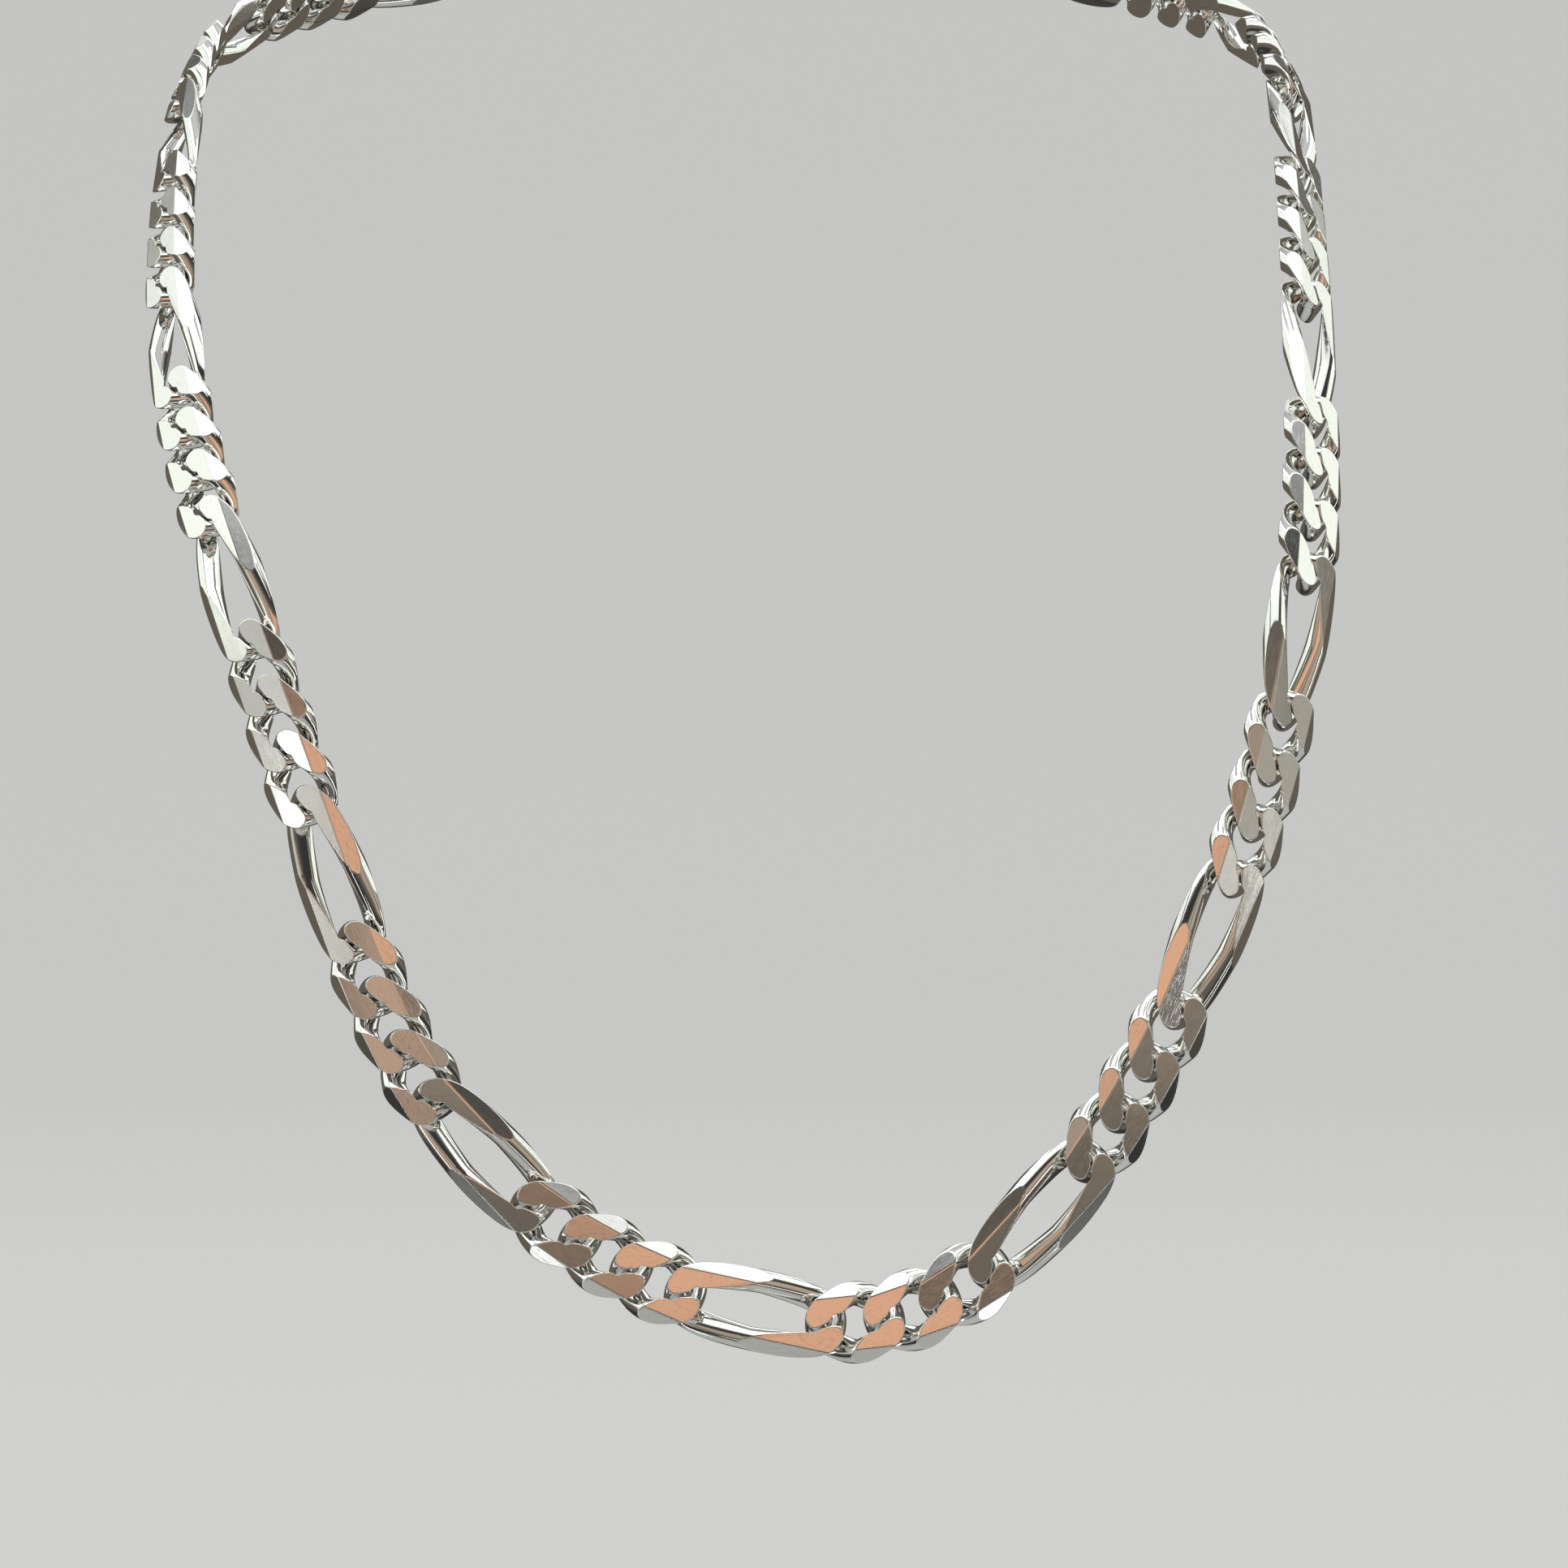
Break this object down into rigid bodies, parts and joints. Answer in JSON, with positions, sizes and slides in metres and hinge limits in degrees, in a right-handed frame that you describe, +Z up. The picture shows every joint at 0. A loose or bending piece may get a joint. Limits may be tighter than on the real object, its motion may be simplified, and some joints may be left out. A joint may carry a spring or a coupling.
{
  "type": "chain necklace",
  "caption": "Flat figaro curb chain necklace in polished silver, hanging as worn, with a lobster claw clasp undone at the nape.",
  "frame": {"origin": "centre of the neck opening, on the axis of the neck", "axes": "+Z up along the neck, -Y towards the front of the wearer, +X to the viewer's right"},
  "size_m": [0.1487, 0.126, 0.1972],
  "materials": {
    "polished_silver": "diamond cut faces polished bright over rounded wire, fine handling scratches",
    "clasp_silver": "cast and tumbled, soft polish",
    "steel_spring": "drawn wire"
  },
  "bodies": {
    "center_link": {"center_link": "polished_silver"},
    "left_link_01": {"left_link_01": "polished_silver"},
    "left_link_02": {"left_link_02": "polished_silver"},
    "left_link_03": {"left_link_03": "polished_silver"},
    "left_link_04": {"left_link_04": "polished_silver"},
    "left_link_05": {"left_link_05": "polished_silver"},
    "left_link_06": {"left_link_06": "polished_silver"},
    "left_link_07": {"left_link_07": "polished_silver"},
    "left_link_08": {"left_link_08": "polished_silver"},
    "left_link_09": {"left_link_09": "polished_silver"},
    "left_link_10": {"left_link_10": "polished_silver"},
    "left_link_11": {"left_link_11": "polished_silver"},
    "left_link_12": {"left_link_12": "polished_silver"},
    "left_link_13": {"left_link_13": "polished_silver"},
    "left_link_14": {"left_link_14": "polished_silver"},
    "left_link_15": {"left_link_15": "polished_silver"},
    "left_link_16": {"left_link_16": "polished_silver"},
    "left_link_17": {"left_link_17": "polished_silver"},
    "left_link_18": {"left_link_18": "polished_silver"},
    "left_link_19": {"left_link_19": "polished_silver"},
    "left_link_20": {"left_link_20": "polished_silver"},
    "left_link_21": {"left_link_21": "polished_silver"},
    "left_link_22": {"left_link_22": "polished_silver"},
    "left_link_23": {"left_link_23": "polished_silver"},
    "left_link_24": {"left_link_24": "polished_silver"},
    "left_back_trio": {"left_back_trio": "polished_silver"},
    "left_back_tail": {"left_back_tail": "polished_silver"},
    "right_link_01": {"right_link_01": "polished_silver"},
    "right_link_02": {"right_link_02": "polished_silver"},
    "right_link_03": {"right_link_03": "polished_silver"},
    "right_link_04": {"right_link_04": "polished_silver"},
    "right_link_05": {"right_link_05": "polished_silver"},
    "right_link_06": {"right_link_06": "polished_silver"},
    "right_link_07": {"right_link_07": "polished_silver"},
    "right_link_08": {"right_link_08": "polished_silver"},
    "right_link_09": {"right_link_09": "polished_silver"},
    "right_link_10": {"right_link_10": "polished_silver"},
    "right_link_11": {"right_link_11": "polished_silver"},
    "right_link_12": {"right_link_12": "polished_silver"},
    "right_link_13": {"right_link_13": "polished_silver"},
    "right_link_14": {"right_link_14": "polished_silver"},
    "right_link_15": {"right_link_15": "polished_silver"},
    "right_link_16": {"right_link_16": "polished_silver"},
    "right_link_17": {"right_link_17": "polished_silver"},
    "right_link_18": {"right_link_18": "polished_silver"},
    "right_link_19": {"right_link_19": "polished_silver"},
    "right_link_20": {"right_link_20": "polished_silver"},
    "right_link_21": {"right_link_21": "polished_silver"},
    "right_link_22": {"right_link_22": "polished_silver"},
    "right_link_23": {"right_link_23": "polished_silver"},
    "right_link_24": {"right_link_24": "polished_silver"},
    "right_back_trio": {"right_back_trio": "polished_silver"},
    "right_back_tail": {"right_back_tail": "polished_silver"},
    "clasp_ring": {"clasp_ring": "clasp_silver"},
    "claw": {"claw_body": "clasp_silver", "lever_pin": "clasp_silver", "lever_spring": "steel_spring"},
    "claw_lever": {"claw_lever": "clasp_silver"},
    "end_ring": {"end_ring": "clasp_silver"},
    "end_tag": {"end_tag": "clasp_silver"}
  },
  "joints": [
    {"name": "left_flex_01", "type": "hinge", "parent": "center_link", "child": "left_link_01", "pos_m": [-0.00662, -0.05592, -0.16978], "axis": [0, 0, 1], "range_deg": [0, 9]},
    {"name": "left_flex_02", "type": "hinge", "parent": "left_link_01", "child": "left_link_02", "pos_m": [-0.01294, -0.05595, -0.16691], "axis": [0, 0, 1], "range_deg": [0, 9]},
    {"name": "left_flex_03", "type": "hinge", "parent": "left_link_02", "child": "left_link_03", "pos_m": [-0.01895, -0.05595, -0.16344], "axis": [0, 0, 1], "range_deg": [0, 9]},
    {"name": "left_flex_04", "type": "hinge", "parent": "left_link_03", "child": "left_link_04", "pos_m": [-0.0246, -0.05593, -0.15941], "axis": [0, 0, 1], "range_deg": [0, 9]},
    {"name": "left_flex_05", "type": "hinge", "parent": "left_link_04", "child": "left_link_05", "pos_m": [-0.03616, -0.05571, -0.14708], "axis": [0, 0, 1], "range_deg": [0, 9]},
    {"name": "left_flex_06", "type": "hinge", "parent": "left_link_05", "child": "left_link_06", "pos_m": [-0.03973, -0.05556, -0.14113], "axis": [0, 0, 1], "range_deg": [0, 9]},
    {"name": "left_flex_07", "type": "hinge", "parent": "left_link_06", "child": "left_link_07", "pos_m": [-0.04273, -0.05537, -0.13488], "axis": [0, 0, 1], "range_deg": [0, 9]},
    {"name": "left_flex_08", "type": "hinge", "parent": "left_link_07", "child": "left_link_08", "pos_m": [-0.04531, -0.05515, -0.12844], "axis": [0, 0, 1], "range_deg": [0, 9]},
    {"name": "left_flex_09", "type": "hinge", "parent": "left_link_08", "child": "left_link_09", "pos_m": [-0.05097, -0.05443, -0.11253], "axis": [0, 0, 1], "range_deg": [0, 9]},
    {"name": "left_flex_10", "type": "hinge", "parent": "left_link_09", "child": "left_link_10", "pos_m": [-0.05328, -0.05391, -0.10601], "axis": [0, 0, 1], "range_deg": [0, 9]},
    {"name": "left_flex_11", "type": "hinge", "parent": "left_link_10", "child": "left_link_11", "pos_m": [-0.0556, -0.05306, -0.09952], "axis": [0, 0, 1], "range_deg": [0, 9]},
    {"name": "left_flex_12", "type": "hinge", "parent": "left_link_11", "child": "left_link_12", "pos_m": [-0.05792, -0.05175, -0.09311], "axis": [0, 0, 1], "range_deg": [0, 9]},
    {"name": "left_flex_13", "type": "hinge", "parent": "left_link_12", "child": "left_link_13", "pos_m": [-0.06344, -0.04569, -0.07833], "axis": [0, 0, 1], "range_deg": [0, 9]},
    {"name": "left_flex_14", "type": "hinge", "parent": "left_link_13", "child": "left_link_14", "pos_m": [-0.06549, -0.04212, -0.07274], "axis": [0, 0, 1], "range_deg": [0, 9]},
    {"name": "left_flex_15", "type": "hinge", "parent": "left_link_14", "child": "left_link_15", "pos_m": [-0.06732, -0.03819, -0.06733], "axis": [0, 0, 1], "range_deg": [0, 9]},
    {"name": "left_flex_16", "type": "hinge", "parent": "left_link_15", "child": "left_link_16", "pos_m": [-0.0689, -0.03406, -0.06198], "axis": [0, 0, 1], "range_deg": [0, 9]},
    {"name": "left_flex_17", "type": "hinge", "parent": "left_link_16", "child": "left_link_17", "pos_m": [-0.07148, -0.02402, -0.04863], "axis": [0, 0, 1], "range_deg": [0, 9]},
    {"name": "left_flex_18", "type": "hinge", "parent": "left_link_17", "child": "left_link_18", "pos_m": [-0.07206, -0.01991, -0.04307], "axis": [0, 0, 1], "range_deg": [0, 9]},
    {"name": "left_flex_19", "type": "hinge", "parent": "left_link_18", "child": "left_link_19", "pos_m": [-0.07246, -0.01565, -0.0376], "axis": [0, 0, 1], "range_deg": [0, 9]},
    {"name": "left_flex_20", "type": "hinge", "parent": "left_link_19", "child": "left_link_20", "pos_m": [-0.07274, -0.01114, -0.03234], "axis": [0, 0, 1], "range_deg": [0, 9]},
    {"name": "left_flex_21", "type": "hinge", "parent": "left_link_20", "child": "left_link_21", "pos_m": [-0.07315, 0.00148, -0.02111], "axis": [0, 0, 1], "range_deg": [0, 9]},
    {"name": "left_flex_22", "type": "hinge", "parent": "left_link_21", "child": "left_link_22", "pos_m": [-0.07314, 0.00727, -0.01728], "axis": [0, 0, 1], "range_deg": [0, 9]},
    {"name": "left_flex_23", "type": "hinge", "parent": "left_link_22", "child": "left_link_23", "pos_m": [-0.0728, 0.01327, -0.01381], "axis": [0, 0, 1], "range_deg": [0, 9]},
    {"name": "left_flex_24", "type": "hinge", "parent": "left_link_23", "child": "left_link_24", "pos_m": [-0.07199, 0.01938, -0.01062], "axis": [0, 0, 1], "range_deg": [0, 9]},
    {"name": "left_flex_25", "type": "hinge", "parent": "left_link_24", "child": "left_back_trio", "pos_m": [-0.06695, 0.03394, -0.00367], "axis": [0, 0, 1], "range_deg": [0, 9]},
    {"name": "left_flex_26", "type": "hinge", "parent": "left_back_trio", "child": "left_back_tail", "pos_m": [-0.05446, 0.04886, 0.00346], "axis": [0, 0, 1], "range_deg": [0, 9]},
    {"name": "right_flex_01", "type": "hinge", "parent": "center_link", "child": "right_link_01", "pos_m": [0.00988, -0.05568, -0.17343], "axis": [0, 0, -1], "range_deg": [0, 9]},
    {"name": "right_flex_02", "type": "hinge", "parent": "right_link_01", "child": "right_link_02", "pos_m": [0.01679, -0.0555, -0.17281], "axis": [0, 0, -1], "range_deg": [0, 9]},
    {"name": "right_flex_03", "type": "hinge", "parent": "right_link_02", "child": "right_link_03", "pos_m": [0.02336, -0.05531, -0.17059], "axis": [0, 0, -1], "range_deg": [0, 9]},
    {"name": "right_flex_04", "type": "hinge", "parent": "right_link_03", "child": "right_link_04", "pos_m": [0.02926, -0.0551, -0.16695], "axis": [0, 0, -1], "range_deg": [0, 9]},
    {"name": "right_flex_05", "type": "hinge", "parent": "right_link_04", "child": "right_link_05", "pos_m": [0.04071, -0.05467, -0.15453], "axis": [0, 0, -1], "range_deg": [0, 9]},
    {"name": "right_flex_06", "type": "hinge", "parent": "right_link_05", "child": "right_link_06", "pos_m": [0.04454, -0.0545, -0.14874], "axis": [0, 0, -1], "range_deg": [0, 9]},
    {"name": "right_flex_07", "type": "hinge", "parent": "right_link_06", "child": "right_link_07", "pos_m": [0.04804, -0.05433, -0.14275], "axis": [0, 0, -1], "range_deg": [0, 9]},
    {"name": "right_flex_08", "type": "hinge", "parent": "right_link_07", "child": "right_link_08", "pos_m": [0.05124, -0.05414, -0.13659], "axis": [0, 0, -1], "range_deg": [0, 9]},
    {"name": "right_flex_09", "type": "hinge", "parent": "right_link_08", "child": "right_link_09", "pos_m": [0.05797, -0.05356, -0.1211], "axis": [0, 0, -1], "range_deg": [0, 9]},
    {"name": "right_flex_10", "type": "hinge", "parent": "right_link_09", "child": "right_link_10", "pos_m": [0.06027, -0.05322, -0.11457], "axis": [0, 0, -1], "range_deg": [0, 9]},
    {"name": "right_flex_11", "type": "hinge", "parent": "right_link_10", "child": "right_link_11", "pos_m": [0.0623, -0.05276, -0.10794], "axis": [0, 0, -1], "range_deg": [0, 9]},
    {"name": "right_flex_12", "type": "hinge", "parent": "right_link_11", "child": "right_link_12", "pos_m": [0.06403, -0.0521, -0.10126], "axis": [0, 0, -1], "range_deg": [0, 9]},
    {"name": "right_flex_13", "type": "hinge", "parent": "right_link_12", "child": "right_link_13", "pos_m": [0.06707, -0.04909, -0.08491], "axis": [0, 0, -1], "range_deg": [0, 9]},
    {"name": "right_flex_14", "type": "hinge", "parent": "right_link_13", "child": "right_link_14", "pos_m": [0.06782, -0.04705, -0.07832], "axis": [0, 0, -1], "range_deg": [0, 9]},
    {"name": "right_flex_15", "type": "hinge", "parent": "right_link_14", "child": "right_link_15", "pos_m": [0.06831, -0.04456, -0.07186], "axis": [0, 0, -1], "range_deg": [0, 9]},
    {"name": "right_flex_16", "type": "hinge", "parent": "right_link_15", "child": "right_link_16", "pos_m": [0.0686, -0.04172, -0.06553], "axis": [0, 0, -1], "range_deg": [0, 9]},
    {"name": "right_flex_17", "type": "hinge", "parent": "right_link_16", "child": "right_link_17", "pos_m": [0.06894, -0.03389, -0.05056], "axis": [0, 0, -1], "range_deg": [0, 9]},
    {"name": "right_flex_18", "type": "hinge", "parent": "right_link_17", "child": "right_link_18", "pos_m": [0.06903, -0.03026, -0.04464], "axis": [0, 0, -1], "range_deg": [0, 9]},
    {"name": "right_flex_19", "type": "hinge", "parent": "right_link_18", "child": "right_link_19", "pos_m": [0.06912, -0.02633, -0.03893], "axis": [0, 0, -1], "range_deg": [0, 9]},
    {"name": "right_flex_20", "type": "hinge", "parent": "right_link_19", "child": "right_link_20", "pos_m": [0.06925, -0.02203, -0.03348], "axis": [0, 0, -1], "range_deg": [0, 9]},
    {"name": "right_flex_21", "type": "hinge", "parent": "right_link_20", "child": "right_link_21", "pos_m": [0.06959, -0.00961, -0.02202], "axis": [0, 0, -1], "range_deg": [0, 9]},
    {"name": "right_flex_22", "type": "hinge", "parent": "right_link_21", "child": "right_link_22", "pos_m": [0.06938, -0.00384, -0.01817], "axis": [0, 0, -1], "range_deg": [0, 9]},
    {"name": "right_flex_23", "type": "hinge", "parent": "right_link_22", "child": "right_link_23", "pos_m": [0.0687, 0.00216, -0.01475], "axis": [0, 0, -1], "range_deg": [0, 9]},
    {"name": "right_flex_24", "type": "hinge", "parent": "right_link_23", "child": "right_link_24", "pos_m": [0.06743, 0.00823, -0.01164], "axis": [0, 0, -1], "range_deg": [0, 9]},
    {"name": "right_flex_25", "type": "hinge", "parent": "right_link_24", "child": "right_back_trio", "pos_m": [0.06193, 0.02273, -0.00492], "axis": [0, 0, -1], "range_deg": [0, 9]},
    {"name": "right_flex_26", "type": "hinge", "parent": "right_back_trio", "child": "right_back_tail", "pos_m": [0.05164, 0.03929, 0.00231], "axis": [0, 0, -1], "range_deg": [0, 9]},
    {"name": "clasp_ring_swing", "type": "hinge", "parent": "left_back_tail", "child": "clasp_ring", "pos_m": [-0.01944, 0.06278, 0.01223], "axis": [0, 0, 1], "range_deg": [0, 18]},
    {"name": "claw_swing", "type": "hinge", "parent": "clasp_ring", "child": "claw", "pos_m": [-0.01592, 0.06331, 0.01278], "axis": [0, 0, 1], "range_deg": [0, 12]},
    {"name": "lever_pivot", "type": "hinge", "parent": "claw", "child": "claw_lever", "pos_m": [-0.01102, 0.06478, 0.01179], "axis": [0.1954, -0.9054, -0.377], "range_deg": [0, 24], "stiffness_Nm_per_rad": 0.004, "springref_deg": -8.59, "deforming": ["lever_spring"]},
    {"name": "end_ring_swing", "type": "hinge", "parent": "right_back_tail", "child": "end_ring", "pos_m": [0.0211, 0.06077, 0.01205], "axis": [0, 0, -1], "range_deg": [0, 18]},
    {"name": "end_tag_swing", "type": "hinge", "parent": "end_ring", "child": "end_tag", "pos_m": [0.01777, 0.06197, 0.01266], "axis": [0, 0, -1], "range_deg": [0, 14]}
  ]
}
